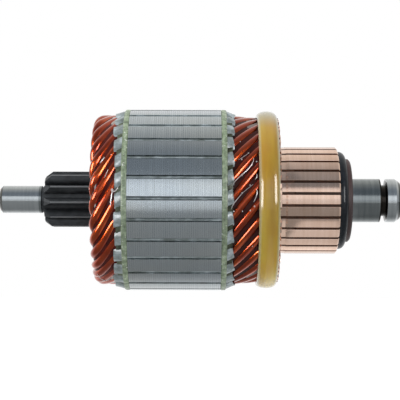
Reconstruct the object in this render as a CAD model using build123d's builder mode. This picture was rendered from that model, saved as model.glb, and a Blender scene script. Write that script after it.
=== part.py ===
from build123d import *
from math import acos, cos, degrees, pi, radians, sin, sqrt, tan
import os

# A wound armature of a geared starter motor. The shaft lies along X, with the pinion at -X and the
# commutator at +X, and the origin is on the axis at mid length. All sizes are in millimetres.
# A turn is an angle about the shaft in degrees, from -Y and positive towards -Z.

# Places along the shaft, measured from mid length
pilot_end = -63.4
undercut_start = -50.3
pinion_start = -49.0
pinion_end = -34.5
seat_start = -26.0
core_start = -21.9
core_end = 6.5
seat_end = 9.5
riser_start = 19.4
riser_end = 24.5
track_end = 43.1
moulding_end = 45.8
washer_thickness = 1.5
groove_start = 57.0
groove_width = 2.0
journal_end = 63.4

# Shaft and pinion
pilot_radius = 4.33
undercut_radius = 4.1
neck_radius = 8.4
core_seat_radius = 9.0
middle_radius = 8.2
hub_seat_radius = 7.6
journal_radius = 6.9
groove_radius = 4.95
groove_wall_slope = 0.45
pilot_chamfer = 0.8
step_chamfer = 0.3
collar_chamfer_length = 1.6
collar_chamfer_depth = 1.1
pinion_teeth = 11
gear_module = 1.3
pressure_angle = 20.0
profile_shift = 0.37
tooth_addendum = 1.0
tooth_dedendum = 1.25
pinion_chamfer_length = 2.2
pinion_chamfer_depth = 1.7
crest_turn = 6.5

# Laminated core and its end discs
slot_count = 28
core_radius = 28.7
slot_mouth = 1.2
slot_width = 3.2
disc_thickness = 1.7

# Winding: one round wire in the top and one in the bottom of each slot
wire_radius = 1.25
top_layer_radius = 25.6
bottom_layer_radius = 22.3
coil_pitch = 5
lead_pitch = 2
head_reach = 8.5
head_bulge = 1.7
bend_offset = 0.8
wire_sides = 6
riser_wire_radius = 24.7

# Paper slot liners
liner_wall = 0.2
liner_play = 0.05
wire_play = 0.05
cuff_length = 2.6
cuff_radius = 28.1
cuff_width = 4.2
cuff_tip_width = 2.8
cuff_tip_wall = 0.25
cuff_sleeve = 0.5
cuff_shift = 3.0

# Commutator
bar_count = slot_count
track_radius = 16.9
riser_radius = 26.2
bar_inner_radius = 13.0
key_inner_radius = 11.2
key_length = 8.0
key_flare = 1.5
bar_gap = 0.8
track_chamfer = 0.4
notch_play = 0.05
web_radius = 16.1
collar_web_radius = 16.6
web_step = 28.9
moulding_radius = 15.5
moulding_round = 2.0
bush_radius = 8.6
bush_overhang = 0.4
washer_radius = 13.2
washer_chamfer = 0.5
washer_play = 0.2

# Resin band round the leads
band_start = 17.7
band_end = 24.0
band_edge_radius = 26.9
band_crown_radius = 28.0

slot_pitch = 360 / slot_count
slot_top_radius = top_layer_radius + wire_radius + wire_play + liner_wall + liner_play
slot_bottom_radius = bottom_layer_radius - wire_radius - wire_play - liner_wall - liner_play
pitch_radius = gear_module * pinion_teeth / 2
tip_radius = pitch_radius + gear_module * (tooth_addendum + profile_shift)
root_radius = pitch_radius - gear_module * (tooth_dedendum - profile_shift)
base_radius = pitch_radius * cos(radians(pressure_angle))
drive_disc_face = core_start - disc_thickness
lead_disc_face = core_end + disc_thickness
washer_end = moulding_end + washer_thickness

os.makedirs("parts", exist_ok=True)


def keep(piece, name):
    """Label a finished piece and write it to its own file."""
    piece.part.label = name
    export_step(piece.part, f"parts/{name}.step")


def around(x, radius, turn):
    """The point at a place along the shaft, a radius and a turn."""
    return Vector(x, -radius * cos(radians(turn)), -radius * sin(radians(turn)))


def involute(angle):
    """The involute function of an angle in radians."""
    return tan(angle) - angle


def tooth_half_angle(radius):
    """Half the angle in degrees that a pinion tooth fills at a radius outside the base circle."""
    pressure = radians(pressure_angle)
    at_pitch = (pi / 2 + 2 * profile_shift * tan(pressure)) / pinion_teeth
    return degrees(at_pitch + involute(pressure) - involute(acos(base_radius / radius)))


# One gap between two pinion teeth, with its middle on the sketch's X axis
half_tooth_pitch = 180 / pinion_teeth
flank_radii = [base_radius, (base_radius + pitch_radius) / 2, (pitch_radius + tip_radius) / 2, tip_radius]
flank_turns = [radians(half_tooth_pitch - tooth_half_angle(r)) for r in flank_radii]
flank = [(r * cos(turn), r * sin(turn)) for r, turn in zip(flank_radii, flank_turns)]
root_corner = (root_radius * cos(flank_turns[0]), root_radius * sin(flank_turns[0]))
gap_mouth = (tip_radius + gear_module, flank[-1][1])

with BuildSketch() as tooth_gap:
    with BuildLine():
        Line((root_radius, 0), root_corner)
        Line(root_corner, flank[0])
        Spline(*flank)
        Line(flank[-1], gap_mouth)
        Line(gap_mouth, (gap_mouth[0], 0))
        mirror(about=Plane.XZ)
    make_face()

# Shaft, turned and hobbed from one bar
with BuildPart() as shaft:
    with BuildSketch(Plane.XZ) as shaft_section:
        with BuildLine():
            Polyline(
                (pilot_end, 0),
                (pilot_end, pilot_radius - pilot_chamfer),
                (pilot_end + pilot_chamfer, pilot_radius),
                (undercut_start, pilot_radius),
                (undercut_start + step_chamfer, undercut_radius),
                (pinion_start, undercut_radius),
                (pinion_start, tip_radius - pinion_chamfer_depth),
                (pinion_start + pinion_chamfer_length, tip_radius),
                (pinion_end, tip_radius),
                (pinion_end, neck_radius),
                (seat_start, neck_radius),
                (seat_start, core_seat_radius),
                (seat_end, core_seat_radius),
                (seat_end, middle_radius),
                (riser_start - bush_overhang, middle_radius),
                (riser_start - bush_overhang, hub_seat_radius),
                (washer_end, hub_seat_radius),
                (washer_end, journal_radius),
                (groove_start, journal_radius),
                (groove_start + groove_wall_slope, groove_radius),
                (groove_start + groove_width - groove_wall_slope, groove_radius),
                (groove_start + groove_width, journal_radius),
                (journal_end - collar_chamfer_length, journal_radius),
                (journal_end, journal_radius - collar_chamfer_depth),
                (journal_end, 0),
                close=True,
            )
        make_face()
    revolve(axis=Axis.X)
    with BuildSketch(Plane.YZ.offset(pinion_start)) as gap_ring:
        with PolarLocations(0, pinion_teeth, start_angle=180 + crest_turn + half_tooth_pitch):
            add(tooth_gap.sketch)
    extrude(amount=pinion_end - pinion_start, mode=Mode.SUBTRACT)
keep(shaft, "shaft")

# Section of one slot, with the core's axis at the sketch's origin and the slot along its X axis
slot_depth = slot_top_radius - slot_bottom_radius
slot_middle = (slot_top_radius + slot_bottom_radius) / 2

with BuildSketch() as slot_section:
    with Locations((slot_middle, 0)):
        Rectangle(slot_depth, slot_width)
    with Locations((slot_top_radius, 0)):
        Rectangle(core_radius, slot_mouth, align=(Align.MIN, Align.CENTER))

with BuildSketch() as lamination:
    Circle(core_radius)
    Circle(core_seat_radius, mode=Mode.SUBTRACT)
    with PolarLocations(0, slot_count, start_angle=180):
        add(slot_section.sketch, mode=Mode.SUBTRACT)

# Laminated core, pressed on the shaft
with BuildPart() as lamination_stack:
    with BuildSketch(Plane.YZ.offset(core_start)):
        add(lamination.sketch)
    extrude(amount=core_end - core_start)
keep(lamination_stack, "lamination_stack")

# Insulating discs at the two ends of the core, with a closed window for each slot
with BuildSketch() as end_disc:
    Circle(core_radius)
    Circle(core_seat_radius, mode=Mode.SUBTRACT)
    with PolarLocations(slot_middle, slot_count, start_angle=180):
        Rectangle(slot_depth, slot_width, mode=Mode.SUBTRACT)

with BuildPart() as drive_end_disc:
    with BuildSketch(Plane.YZ.offset(drive_disc_face)):
        add(end_disc.sketch)
    extrude(amount=disc_thickness)
keep(drive_end_disc, "drive_end_disc")

with BuildPart() as commutator_end_disc:
    with BuildSketch(Plane.YZ.offset(core_end)):
        add(end_disc.sketch)
    extrude(amount=disc_thickness)
keep(commutator_end_disc, "commutator_end_disc")

# Slot liners: a paper sleeve in each slot, with a cuff over the wires at both ends
liner_width = slot_width - 2 * liner_play
liner_top = slot_top_radius - liner_play
liner_bottom = slot_bottom_radius + liner_play
liner_middle = (liner_top + liner_bottom) / 2
cuff_bottom = liner_top - liner_wall / 2
sleeve_start = drive_disc_face - cuff_sleeve
sleeve_end = lead_disc_face + cuff_sleeve

with BuildPart() as slot_liners:
    for slot in range(slot_count):
        turn = slot * slot_pitch
        slot_plane = Plane(
            origin=around(sleeve_start, liner_middle, turn), x_dir=around(0, 1, turn), z_dir=(1, 0, 0)
        )
        with BuildSketch(slot_plane):
            Rectangle(liner_top - liner_bottom, liner_width)
            Rectangle(
                liner_top - liner_bottom - 2 * liner_wall, liner_width - 2 * liner_wall, mode=Mode.SUBTRACT
            )
        extrude(amount=sleeve_end - sleeve_start)
        for face, side in ((drive_disc_face, -1), (lead_disc_face, 1)):
            tip_turn = turn - side * cuff_shift
            base_plane = Plane(
                origin=around(face, (cuff_radius + cuff_bottom) / 2, turn),
                x_dir=around(0, 1, turn),
                z_dir=(side, 0, 0),
            )
            tip_plane = Plane(
                origin=around(face + side * cuff_length, cuff_bottom + cuff_tip_wall / 2, tip_turn),
                x_dir=around(0, 1, tip_turn),
                z_dir=(side, 0, 0),
            )
            with BuildSketch(base_plane):
                Rectangle(cuff_radius - cuff_bottom, cuff_width)
            with BuildSketch(tip_plane):
                Rectangle(cuff_tip_wall, cuff_tip_width)
            loft(ruled=True)
keep(slot_liners, "slot_liners")

# Hairpin coils: each wire runs from a riser through the top of one slot, round its head at the
# drive end, and back through the bottom of the slot one coil pitch on to another riser
head_middle_radius = (top_layer_radius + bottom_layer_radius) / 2
head_height = (top_layer_radius - bottom_layer_radius) / 2
head_centre = drive_disc_face - head_reach + head_bulge
head_quarter = pi / 2 * sqrt((head_bulge**2 + head_height**2) / 2)
head_bend = sleeve_start - bend_offset
lead_bend = sleeve_end + bend_offset
riser_bend = riser_start - bend_offset
full_coil_turn = coil_pitch * slot_pitch
head_rate = full_coil_turn / 2 / (head_bend - head_centre + head_quarter)
lead_turn = lead_pitch * slot_pitch
riser_layer_step = 2 * (wire_radius + wire_play)


def half_hairpin(layer, end_layer):
    """Stations (x, radius, turn from its slot) of one leg, from the riser to the start of the head."""
    head_turn = head_rate * (head_bend - head_centre)
    return [
        (riser_end - wire_play, end_layer, -lead_turn),
        (riser_bend, end_layer, -lead_turn),
        ((riser_bend + lead_bend) / 2, (end_layer + layer) / 2, -lead_turn / 2),
        (lead_bend, layer, 0),
        (head_bend, layer, 0),
        ((head_bend + head_centre) / 2, layer, head_turn / 2),
        (head_centre, layer, head_turn),
    ]


def head_station(angle):
    """Station on the head at an angle of 0 at the top layer to 180 at the bottom layer."""
    turn = head_rate * (head_bend - head_centre + head_quarter * angle / 90)
    x = head_centre - head_bulge * sin(radians(angle))
    return (x, head_middle_radius + head_height * cos(radians(angle)), turn)


top_leg = half_hairpin(top_layer_radius, riser_wire_radius)
bottom_leg = half_hairpin(bottom_layer_radius, riser_wire_radius - riser_layer_step)
wire_head = [head_station(angle) for angle in (45, 90, 135)]
wire_route = top_leg + wire_head + [(x, radius, full_coil_turn - turn) for x, radius, turn in reversed(bottom_leg)]

for coil in range(slot_count):
    first_turn = coil * slot_pitch
    points = [around(x, radius, first_turn + turn) for x, radius, turn in wire_route]
    steps = [(after - point).normalized() for point, after in zip(points, points[1:])]
    headings = [steps[0], *[last + following for last, following in zip(steps, steps[1:])], steps[-1]]
    with BuildPart() as hairpin:
        for point, heading in zip(points, headings):
            outward = Vector(0, point.Y, point.Z)
            with BuildSketch(Plane(origin=point, x_dir=outward, z_dir=heading)):
                RegularPolygon(wire_radius, wire_sides)
        loft(ruled=True)
    keep(hairpin, f"hairpin_{coil + 1:02d}")

# Commutator bars: copper segments with a keyed foot and a riser notched for two wire ends
key_middle = (riser_end + track_end) / 2
notch_bottom = riser_wire_radius - riser_layer_step - wire_radius - notch_play
with BuildPart() as commutator_bars:
    with BuildSketch(Plane.XZ):
        with BuildLine():
            Polyline(
                (riser_end, track_radius),
                (track_end - track_chamfer, track_radius),
                (track_end, track_radius - track_chamfer),
                (track_end, bar_inner_radius),
                (key_middle + key_length / 2, bar_inner_radius),
                (key_middle + key_length / 2 + key_flare, key_inner_radius),
                (key_middle - key_length / 2 - key_flare, key_inner_radius),
                (key_middle - key_length / 2, bar_inner_radius),
                (riser_start, bar_inner_radius),
                (riser_start, riser_radius),
                (riser_end, riser_radius),
                close=True,
            )
        make_face()
    revolve(axis=Axis.X)
    with BuildSketch(Plane.YZ.offset(riser_start)):
        with PolarLocations(0, bar_count, start_angle=180 + slot_pitch / 2):
            Rectangle(2 * riser_radius, bar_gap, align=(Align.MIN, Align.CENTER))
    extrude(amount=track_end - riser_start, mode=Mode.SUBTRACT)
    with BuildSketch(Plane.YZ.offset(riser_start)):
        with PolarLocations(notch_bottom, bar_count, start_angle=180):
            Rectangle(riser_radius, 2 * (wire_radius + notch_play), align=(Align.MIN, Align.CENTER))
    extrude(amount=riser_end - riser_start, mode=Mode.SUBTRACT)
keep(commutator_bars, "commutator_bars")

# Moulding that holds the bars on the bush, with a web between each two bars
with BuildPart() as commutator_moulding:
    with BuildSketch(Plane.XZ):
        with BuildLine():
            Polyline(
                (moulding_end, moulding_radius - moulding_round),
                (moulding_end, bush_radius),
                (riser_start, bush_radius),
                (riser_start, web_radius),
                (riser_end, web_radius),
                (riser_end, collar_web_radius),
                (web_step, collar_web_radius),
                (web_step + collar_web_radius - web_radius, web_radius),
                (track_end, web_radius),
                (track_end, moulding_radius),
                (moulding_end - moulding_round, moulding_radius),
            )
            RadiusArc(
                (moulding_end - moulding_round, moulding_radius),
                (moulding_end, moulding_radius - moulding_round),
                moulding_round,
            )
        make_face()
    revolve(axis=Axis.X)
    add(commutator_bars.part, mode=Mode.SUBTRACT)
keep(commutator_moulding, "commutator_moulding")

# Steel bush inside the moulding, pressed on the shaft
with BuildPart() as commutator_bush:
    with BuildSketch(Plane.YZ.offset(riser_start - bush_overhang)):
        Circle(bush_radius)
        Circle(hub_seat_radius, mode=Mode.SUBTRACT)
    extrude(amount=moulding_end - riser_start + bush_overhang)
keep(commutator_bush, "commutator_bush")

# Fibre thrust washer against the moulding, flush with the shoulder that the bearing meets
with BuildPart() as thrust_washer:
    with BuildSketch(Plane.YZ.offset(moulding_end)):
        Circle(washer_radius)
        Circle(hub_seat_radius + washer_play, mode=Mode.SUBTRACT)
    extrude(amount=washer_thickness)
    chamfer(thrust_washer.edges().group_by(Axis.X)[-1].sort_by(SortBy.LENGTH)[-1], washer_chamfer)
keep(thrust_washer, "thrust_washer")

# Resin band, crowned, round the wire ends and the risers
with BuildPart() as winding_band:
    with BuildSketch(Plane.XZ):
        with BuildLine():
            Polyline(
                (band_start, band_edge_radius),
                (band_start, riser_radius),
                (band_end, riser_radius),
                (band_end, band_edge_radius),
            )
            ThreePointArc(
                (band_start, band_edge_radius),
                ((band_start + band_end) / 2, band_crown_radius),
                (band_end, band_edge_radius),
            )
        make_face()
    revolve(axis=Axis.X)
keep(winding_band, "winding_band")
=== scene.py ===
import random
from math import asin, atan2, cos, degrees, hypot, pi, radians, sin, sqrt, tan

import bmesh
import bpy
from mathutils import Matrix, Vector


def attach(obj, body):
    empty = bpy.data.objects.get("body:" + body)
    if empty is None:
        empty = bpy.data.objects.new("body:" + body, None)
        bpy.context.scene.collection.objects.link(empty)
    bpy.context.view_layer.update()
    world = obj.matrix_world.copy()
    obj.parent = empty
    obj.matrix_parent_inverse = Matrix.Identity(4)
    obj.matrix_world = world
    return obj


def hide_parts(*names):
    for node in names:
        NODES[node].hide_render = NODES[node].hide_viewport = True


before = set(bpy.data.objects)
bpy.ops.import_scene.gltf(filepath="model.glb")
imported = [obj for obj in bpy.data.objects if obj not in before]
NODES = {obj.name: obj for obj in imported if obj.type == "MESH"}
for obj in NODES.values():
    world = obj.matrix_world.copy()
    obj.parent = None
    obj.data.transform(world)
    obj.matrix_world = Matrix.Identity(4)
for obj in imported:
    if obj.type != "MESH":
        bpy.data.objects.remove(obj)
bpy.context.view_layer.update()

# The CAD box, before any piece is added
MM = 0.001
random.seed(7)

# Places along the shaft and radii in millimetres; the coated wire and the band's swell are the scene's own
CORE_START, CORE_END = -21.9, 6.5
DISC_THICKNESS = 1.7
DRIVE_FACE = CORE_START - DISC_THICKNESS
LEAD_FACE = CORE_END + DISC_THICKNESS
CORE_RADIUS, CORE_BORE = 28.7, 9.0
SLOT_COUNT = 28
SLOT_PITCH = 360 / SLOT_COUNT
SLOT_MOUTH, SLOT_WIDTH = 1.2, 3.2
SLOT_TOP, SLOT_BOTTOM = 27.15, 20.75
GROOVE_START, GROOVE_END = 56.6, 58.9
WIRE_RADIUS, COATED_RADIUS = 1.25, 1.34
TOP_LAYER, BOTTOM_LAYER = 25.6, 22.3
RISER_LAYER, RISER_STEP = 24.7, 2.6
RISER_START, RISER_END = 19.4, 24.5
SLEEVE = 0.5
BEND = 1.6
HEAD_REACH, HEAD_BULGE = 8.5, 1.7
COIL_PITCH, LEAD_PITCH = 5, 2
BAND_START, BAND_END = 17.7, 24.0
BAND_INNER, BAND_EDGE, BAND_CROWN, BAND_SWELL = 26.2, 26.9, 28.0, 0.3
TRACK_END, TRACK_CHAMFER = 43.1, 0.4

# Zones of the finishes: the clean pilot, the tips with painted shade, the black pinion and the crests of its
# teeth with a painted highlight
PILOT_END, SHADED_TIP_START = -51.0, 62.5
PINION_START, PINION_END, CREST_RADIUS = -50.3, -34.4, 8.86
# Painted reflection: the varnish films are paler past a height over or under the axis and past a place along
# the shaft
HEAD_REFLECTION_HEIGHT, HEAD_REFLECTION_START = 23.0, -27.5
LEAD_REFLECTION_HEIGHT, LEAD_REFLECTION_START = 22.0, 14.5
# Painted shade: the band is greyer past this height over the axis
BAND_SHADE_TOP = 27.5

# Camera: its distance and the width of its view at the axis in metres, and its small turns
CAMERA_DISTANCE = 0.400
FRAME_WIDTH = 0.1276
SENSOR = 36.0
ROLL, RISE = radians(-0.19), radians(-0.9)
# The photograph's frame is 400 pixels square, and the shaft axis lies at its middle
PHOTO_SIZE = 400
PIXELS_PER_MM = PHOTO_SIZE / (FRAME_WIDTH / MM)
MIDDLE_PIXEL = PHOTO_SIZE / 2

# World colours seen towards the camera's side, the sides and the back
WORLD_STOPS = [
    (0.20, (0.235, 0.27, 0.31)), (0.29, (0.30, 0.33, 0.36)), (0.39, (0.43, 0.45, 0.47)),
    (0.50, (0.52, 0.54, 0.54)), (0.64, (0.76, 0.77, 0.75)), (0.80, (0.87, 0.88, 0.86)), (0.97, (1, 1, 1)),
]
# Painted glow that mirrors see on the floor, by place: dark in front, brighter towards the backdrop
FLOOR_MIRRORED = [(0.0, 0.0), (0.06, 0.08), (0.14, 0.22), (0.25, 0.47), (0.80, 0.85)]
FLOOR_FRONT, FLOOR_DEPTH = 0.02, 0.65
FLOOR_LEVEL, FLOOR_HALF_SIZE = -0.22, 3.0

# Lamp panels: name, azimuth, distance, width, lowest and highest elevation, radiance and colour
SOFT_PANELS = [
    ("front_panel", 0, 0.75, 0.56, -13, 26, 0.62, (0.96, 0.99, 1.01)),
    ("front_window", 0, 0.72, 0.50, 2, 22, 0.23, (0.98, 0.99, 1.0)),
]
MIRRORED_PANELS = [
    ("left_lamp", -55, 0.7, 0.34, -8, 20, 14.0, (1, 1, 1)),
    ("right_lamp", 41, 0.8, 0.26, -4, 26, 14.0, (1, 1, 1)),
]
FILL_PLACE, FILL_SIZE, FILL_POWER = Vector((-0.30, -0.30, 1.2)), (1.0, 0.8), 16.0
# Two narrow cards over and under the commutator, mirrored only: name, height, turn and radiance of each
CARDS = [("low_card", -0.095, pi, 0.45), ("high_card", 0.095, 0.0, 0.12)]
CARD_PLACE, CARD_WIDTH, CARD_LENGTH = (0.035, -0.007), 0.042, 0.190


def around(x, radius, turn):
    """A point in metres from a place along the shaft, a radius and a turn in degrees."""
    return Vector((x, -radius * cos(radians(turn)), -radius * sin(radians(turn)))) * MM


def mix_value(low, high, share):
    """A value between two others."""
    return low + (high - low) * share


# Materials


def set_stops(ramp, stops):
    """Colours at places along a colour ramp."""
    while len(ramp.elements) < len(stops):
        ramp.elements.new(0.5)
    for element, (place, colour) in zip(ramp.elements, stops):
        element.position = place
        element.color = (*colour, 1.0)


class Finish:
    """A node material under construction, with its shader and a few shorthands."""

    def __init__(self, name, **inputs):
        self.material = bpy.data.materials.new(name)
        self.material.use_nodes = True
        self.nodes = self.material.node_tree.nodes
        self.links = self.material.node_tree.links
        self.shader = self.nodes["Principled BSDF"]
        for key, value in inputs.items():
            self.shader.inputs[key.replace("_", " ")].default_value = value

    def node(self, kind, **inputs):
        """A new node with values for some of its inputs."""
        made = self.nodes.new(kind)
        for key, value in inputs.items():
            made.inputs[key.replace("_", " ")].default_value = value
        return made

    def link(self, source, target):
        self.links.new(source, target)

    def place(self):
        """The point on the object in metres."""
        return self.node("ShaderNodeTexCoord").outputs["Object"]

    def split(self):
        """The three coordinates of the point."""
        parts = self.node("ShaderNodeSeparateXYZ")
        self.link(self.place(), parts.inputs[0])
        return parts.outputs

    def math(self, operation, first, second=0.0):
        """The result of an operation on sockets or numbers."""
        made = self.node("ShaderNodeMath")
        made.operation = operation
        for index, value in enumerate((first, second)):
            if isinstance(value, (int, float)):
                made.inputs[index].default_value = value
            else:
                self.link(value, made.inputs[index])
        return made.outputs[0]

    def within(self, value, low, high):
        """1 where a value lies between two numbers, else 0."""
        above = self.math("GREATER_THAN", value, low)
        return self.math("MULTIPLY", above, self.math("LESS_THAN", value, high))

    def noise(self, scale, stretch=(1, 1, 1), detail=4.0, roughness=0.55):
        """Noise on the point, stretched along the axes."""
        mapping = self.node("ShaderNodeMapping", Scale=stretch)
        self.link(self.place(), mapping.inputs["Vector"])
        made = self.node("ShaderNodeTexNoise", Scale=scale, Detail=detail, Roughness=roughness)
        self.link(mapping.outputs[0], made.inputs["Vector"])
        return made.outputs["Fac"]

    def ramp(self, factor, stops):
        """Colours at places along a factor."""
        made = self.node("ShaderNodeValToRGB")
        set_stops(made.color_ramp, stops)
        self.link(factor, made.inputs[0])
        return made.outputs[0]

    def blend(self, factor, first, second, mode="MIX"):
        """One colour over another by a factor."""
        made = self.node("ShaderNodeMix")
        made.data_type = "RGBA"
        made.blend_type = mode
        for socket, value in ((made.inputs[0], factor), (made.inputs[6], first), (made.inputs[7], second)):
            if isinstance(value, (int, float)):
                socket.default_value = value
            elif isinstance(value, tuple):
                socket.default_value = (*value, 1.0)
            else:
                self.link(value, socket)
        return made.outputs[2]

    def colour(self, socket):
        self.link(socket, self.shader.inputs["Base Color"])

    def roughness(self, socket, low, high):
        """Roughness between two values by a factor."""
        spread = self.node("ShaderNodeMapRange", To_Min=low, To_Max=high)
        self.link(socket, spread.inputs["Value"])
        self.link(spread.outputs[0], self.shader.inputs["Roughness"])

    def bump(self, socket, strength, distance):
        """Relief by a factor, to a depth in metres."""
        made = self.node("ShaderNodeBump", Strength=strength, Distance=distance)
        self.link(socket, made.inputs["Height"])
        self.link(made.outputs[0], self.shader.inputs["Normal"])


def turned_rings(finish, pitch, strength, distance):
    """Fine rings left by turning or grinding round the shaft."""
    finish.bump(finish.noise(1 / pitch, (1, 0.01, 0.01), detail=3.0), strength, distance)


def steel_finish():
    """Ground steel of the shaft, with a clean pilot and collar, a black pinion with painted highlights on
    its crests, and painted shade in the groove and on the tips.
    """
    made = Finish("ground_steel")
    grain = made.noise(900, (1, 0.06, 0.06))
    dull = made.ramp(grain, [(0.3, (0.21, 0.225, 0.226)), (0.7, (0.29, 0.305, 0.305))])
    clean = made.ramp(grain, [(0.3, (0.44, 0.455, 0.46)), (0.7, (0.54, 0.555, 0.56))])
    mottle = made.noise(500)
    black = made.ramp(mottle, [(0.35, (0.020, 0.022, 0.024)), (0.75, (0.045, 0.049, 0.053))])
    x, y, z = made.split()
    at_pilot = made.math("LESS_THAN", x, PILOT_END * MM)
    at_collar = made.math("GREATER_THAN", x, GROOVE_END * MM)
    bright = made.blend(made.math("MAXIMUM", at_pilot, at_collar), dull, clean)
    radius = made.math("SQRT", made.math("ADD", made.math("MULTIPLY", y, y), made.math("MULTIPLY", z, z)))
    # Painted highlight: the crests of the pinion's teeth are lighter
    crest_highlight = made.math("MULTIPLY", made.math("GREATER_THAN", radius, CREST_RADIUS * MM), 0.6)
    crest = made.blend(crest_highlight, black, (0.22, 0.225, 0.23))
    at_pinion = made.within(x, PINION_START * MM, PINION_END * MM)
    # Painted shade: the groove is darker than the steel around it
    groove_shade = made.within(x, GROOVE_START * MM, GROOVE_END * MM)
    bright = made.blend(groove_shade, bright, (0.030, 0.026, 0.022))
    # Painted shade: the chamfered tips at both ends are darker
    shaded_tips = made.math("GREATER_THAN", made.math("ABSOLUTE", x), SHADED_TIP_START * MM)
    bright = made.blend(shaded_tips, bright, (0.13, 0.13, 0.125))
    made.colour(made.blend(at_pinion, bright, crest))
    metallic = made.math("SUBTRACT", 1.0, made.math("MULTIPLY", at_pinion, 0.6))
    made.link(metallic, made.shader.inputs["Metallic"])
    polish = made.math("ADD", made.math("MULTIPLY", grain, 0.12), 0.11)
    roughness = made.math("ADD", polish, made.math("MULTIPLY", at_pinion, 0.26))
    made.link(roughness, made.shader.inputs["Roughness"])
    turned_rings(made, 0.25 * MM, 0.10, 0.01 * MM)
    return made.material


def core_finish():
    """Punched electrical steel, a little different from sheet to sheet."""
    made = Finish("core_sheets", Metallic=1.0)
    sheets = made.noise(1550, (1, 0.004, 0.004), detail=1.0)
    broad = made.noise(45, (0.5, 1, 1))
    base = made.ramp(sheets, [(0.30, (0.50, 0.52, 0.525)), (0.70, (0.55, 0.57, 0.575))])
    tint = made.ramp(broad, [(0.35, (0.94, 0.97, 1.0)), (0.65, (1.0, 0.99, 0.96))])
    made.colour(made.blend(1.0, base, tint, "MULTIPLY"))
    made.roughness(made.noise(90), 0.185, 0.195)
    return made.material


def disc_finish():
    """Green varnished fibre, mottled, with pale specks."""
    made = Finish("green_fibre", Roughness=0.5, Coat_Weight=0.25, Coat_Roughness=0.25)
    cloud = made.noise(650, detail=6.0, roughness=0.7)
    greens = [(0.32, (0.08, 0.105, 0.055)), (0.50, (0.18, 0.235, 0.14)), (0.68, (0.35, 0.41, 0.285))]
    base = made.ramp(cloud, greens)
    speck = made.ramp(made.noise(1100, detail=2.0), [(0.64, (0, 0, 0)), (0.72, (1, 1, 1))])
    made.colour(made.blend(speck, base, (0.66, 0.68, 0.62)))
    made.bump(cloud, 0.7, 0.10 * MM)
    return made.material


def paper_finish():
    """Grey-blue insulating paper, soaked in clear varnish."""
    made = Finish("liner_paper", Roughness=0.40, Coat_Weight=0.25, Coat_Roughness=0.12)
    cloud = made.noise(480, (0.6, 1, 1), detail=5.0, roughness=0.65)
    greys = [(0.34, (0.11, 0.13, 0.12)), (0.52, (0.23, 0.27, 0.275)), (0.70, (0.43, 0.48, 0.50))]
    made.colour(made.ramp(cloud, greys))
    made.bump(made.noise(600), 0.8, 0.15 * MM)
    return made.material


def wire_finish():
    """Copper under glossy amber enamel, made a little darker at the leads by painted shade."""
    made = Finish("enamelled_copper", Metallic=1.0, Coat_Weight=1.0, Coat_Roughness=0.06, Coat_IOR=1.38)
    ambers = [(0.30, (0.28, 0.022, 0.002)), (0.55, (0.43, 0.050, 0.003)), (0.80, (0.62, 0.115, 0.007))]
    amber = made.ramp(made.noise(160), ambers)
    # Painted shade: the leads take a darker copy of the amber
    darker = made.blend(1.0, amber, (0.78, 0.80, 0.85), "MULTIPLY")
    at_leads = made.math("GREATER_THAN", made.split()[0], 0.0)
    made.colour(made.blend(at_leads, amber, darker))
    made.roughness(made.noise(300), 0.20, 0.29)
    made.bump(made.noise(220), 0.20, 0.06 * MM)
    return made.material


def band_finish():
    """Yellow ochre resin, glossy, paler at its two edges, where it is thin and where a sheen is painted, and
    greyer at the top by painted shade.
    """
    made = Finish(
        "ochre_resin", Roughness=0.45, Specular_IOR_Level=0.2, Coat_Weight=1.0, Coat_Roughness=0.11,
        Subsurface_Weight=0.15, Subsurface_Scale=0.0010, Subsurface_Radius=(1.0, 0.9, 0.4),
    )
    streak = made.noise(220, (1, 0.10, 0.10))
    ochres = [(0.30, (0.37, 0.23, 0.012)), (0.55, (0.45, 0.30, 0.018)), (0.80, (0.51, 0.37, 0.034))]
    patch = made.noise(75, (1, 0.6, 0.6), detail=2.0)
    stain = made.ramp(patch, [(0.42, (1, 1, 1)), (0.66, (0.92, 0.74, 0.60))])
    base = made.blend(1.0, made.ramp(streak, ochres), stain, "MULTIPLY")
    parts = made.split()
    middle = (BAND_START + BAND_END) / 2 * MM
    half = (BAND_END - BAND_START) / 2 * MM
    out = made.math("DIVIDE", made.math("ABSOLUTE", made.math("SUBTRACT", parts[0], middle)), half)
    # The paler edges are partly thin resin and partly a painted sheen where the dome turns away
    edge = made.ramp(out, [(0.72, (0, 0, 0)), (1.0, (1, 1, 1))])
    base = made.blend(edge, base, (0.46, 0.42, 0.26))
    # Painted shade: greyer towards the top
    height = made.math("DIVIDE", parts[2], BAND_SHADE_TOP * MM)
    top_shade = made.ramp(height, [(0.80, (0, 0, 0)), (1.0, (1, 1, 1))])
    made.colour(made.blend(top_shade, base, (0.25, 0.22, 0.13)))
    made.bump(made.noise(120, (1, 0.3, 0.3)), 0.35, 0.12 * MM)
    return made.material


def copper_finish():
    """Turned copper with fine rings and a few darker streaks."""
    made = Finish("turned_copper", Metallic=1.0)
    grain = made.noise(1400, (1, 0.03, 0.03), detail=3.0)
    patch = made.noise(130)
    base = made.ramp(grain, [(0.30, (0.73, 0.515, 0.405)), (0.70, (0.81, 0.585, 0.475))])
    tone = made.ramp(patch, [(0.35, (0.92, 0.88, 0.85)), (0.65, (1.0, 1.0, 1.0))])
    made.colour(made.blend(1.0, base, tone, "MULTIPLY"))
    made.roughness(grain, 0.11, 0.16)
    turned_rings(made, 0.30 * MM, 0.06, 0.015 * MM)
    return made.material


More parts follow.
